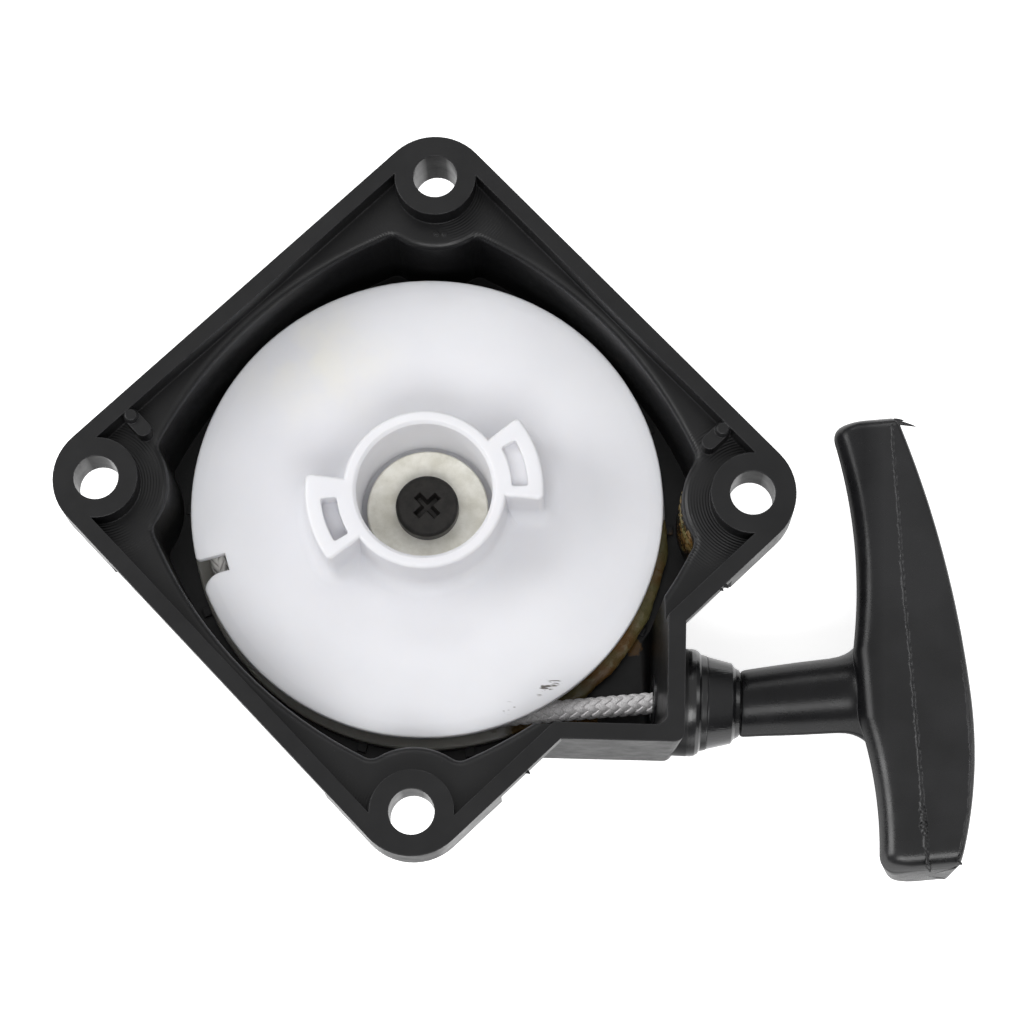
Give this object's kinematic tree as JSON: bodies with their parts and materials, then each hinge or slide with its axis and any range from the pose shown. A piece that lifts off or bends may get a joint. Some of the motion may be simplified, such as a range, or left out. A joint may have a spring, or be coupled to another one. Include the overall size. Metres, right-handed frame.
{
  "type": "recoil starter",
  "caption": "Pull-cord starter for a small engine: open-sided square housing on its corner, sprung rope reel, side rope guide and a T-shaped handle.",
  "frame": {"origin": "centre of the four mounting holes, on the open rim's face", "axes": "+Z out of the open side along the reel's axis; +X the way the rope is pulled; the holes lie on X and Y"},
  "size_m": [0.1354, 0.1088, 0.0284],
  "materials": {
    "housing_plastic": "black glass-filled nylon, satin with fine moulding grain",
    "guide_plastic": "dark grey, polished by the rope and hands",
    "reel_nylon": "natural white nylon, smooth",
    "cord": "braided polyester, silver white",
    "grip_plastic": "dark grey, fine grain",
    "plated_steel": "dull zinc plate",
    "black_steel": "black oxide with an oil film",
    "insert_brass": "machined",
    "spring_steel": "blued strip"
  },
  "bodies": {
    "housing": {"housing": "housing_plastic", "rope_guide": "guide_plastic", "post_sleeve": "plated_steel", "screw_insert": "insert_brass", "retaining_washer": "plated_steel", "reel_screw": "black_steel", "spring_case": "plated_steel", "spring_cover": "plated_steel", "recoil_spring": "spring_steel", "rope_run": "cord"},
    "reel": {"reel": "reel_nylon", "rope_winding": "cord", "reel_knot": "cord"},
    "handle": {"handle_grip": "grip_plastic", "handle_cover": "grip_plastic", "handle_ferrule": "plated_steel", "handle_knot": "cord", "rope_tail": "cord"}
  },
  "joints": [
    {"name": "handle_pull", "type": "slide", "parent": "housing", "child": "handle", "axis": [1, 0, 0], "range_m": [0, 0.6], "stiffness_N_per_m": 12, "springref_m": -0.5, "deforming": ["rope_run"]},
    {"name": "reel_spin", "type": "hinge", "parent": "housing", "child": "reel", "pos_m": [0, 0, 0], "axis": [0, 0, 1], "range_deg": [0, 1200], "deforming": ["recoil_spring", "rope_winding"]}
  ],
  "couplings": [
    {"joint": "reel_spin", "follows": "handle_pull", "rad_per_m": 34.364}
  ]
}
